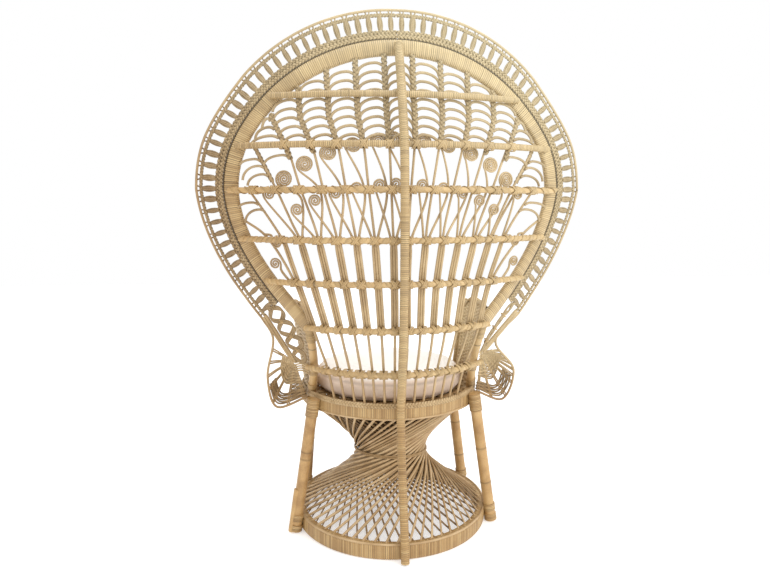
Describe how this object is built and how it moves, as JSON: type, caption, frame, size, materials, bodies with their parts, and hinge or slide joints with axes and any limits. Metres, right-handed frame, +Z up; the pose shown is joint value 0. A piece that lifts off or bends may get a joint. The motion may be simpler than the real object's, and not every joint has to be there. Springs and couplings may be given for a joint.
{
  "type": "peacock chair",
  "caption": "Woven rattan peacock chair: round fan back with openwork border and scrolls, low arms, round seat with loose cushion, twisted cane base with pole legs.",
  "frame": {"origin": "on the floor under the middle of the chair's outline", "axes": "+Z up, -Y the way the sitter faces, +X the sitter's left"},
  "size_m": [1.1316, 0.6762, 1.5047],
  "materials": {
    "rattan_pole": "peeled rattan pole, satin",
    "wrapped_cane": "pole wound with split cane, satin",
    "cane": "thin peeled cane, satin",
    "woven_cane": "plaited split cane, matt",
    "cushion_fabric": "plain woven cotton, matt"
  },
  "bodies": {
    "chair_frame": {"base_ring": "wrapped_cane", "seat_ring": "wrapped_cane", "leg_rear_left": "rattan_pole", "leg_front_left": "rattan_pole", "leg_rear_right": "rattan_pole", "leg_front_right": "rattan_pole", "base_canes": "cane", "seat_deck": "woven_cane", "back_hoop": "wrapped_cane", "back_post_left": "rattan_pole", "back_post_right": "rattan_pole", "back_rail_1": "wrapped_cane", "back_rail_2": "wrapped_cane", "back_rail_3": "wrapped_cane", "back_rail_4": "wrapped_cane", "back_rail_5": "wrapped_cane", "back_rail_6": "wrapped_cane", "back_rail_7": "wrapped_cane", "spine_post": "wrapped_cane", "border_lace_left": "cane", "border_lace_right": "cane", "outer_rim": "cane", "spindle_left_1": "cane", "spindle_left_2": "cane", "spindle_left_3": "cane", "spindle_left_4": "cane", "spindle_left_5": "cane", "spindle_left_6": "cane", "spindle_left_7": "cane", "spindle_right_1": "cane", "spindle_right_2": "cane", "spindle_right_3": "cane", "spindle_right_4": "cane", "spindle_right_5": "cane", "spindle_right_6": "cane", "spindle_right_7": "cane", "side_scroll_left": "cane", "side_scroll_right": "cane", "crown_scales": "cane", "arm_rail_left": "wrapped_cane", "arm_rail_right": "wrapped_cane", "arm_panel_left": "woven_cane", "arm_panel_right": "woven_cane", "arm_wing_left": "woven_cane", "arm_wing_right": "woven_cane"},
    "cushion": {"seat_cushion": "cushion_fabric"}
  },
  "joints": [
    {"name": "cushion_lift", "type": "slide", "parent": "chair_frame", "child": "cushion", "axis": [0, 0, 1], "range_m": [0, 0.3]}
  ]
}
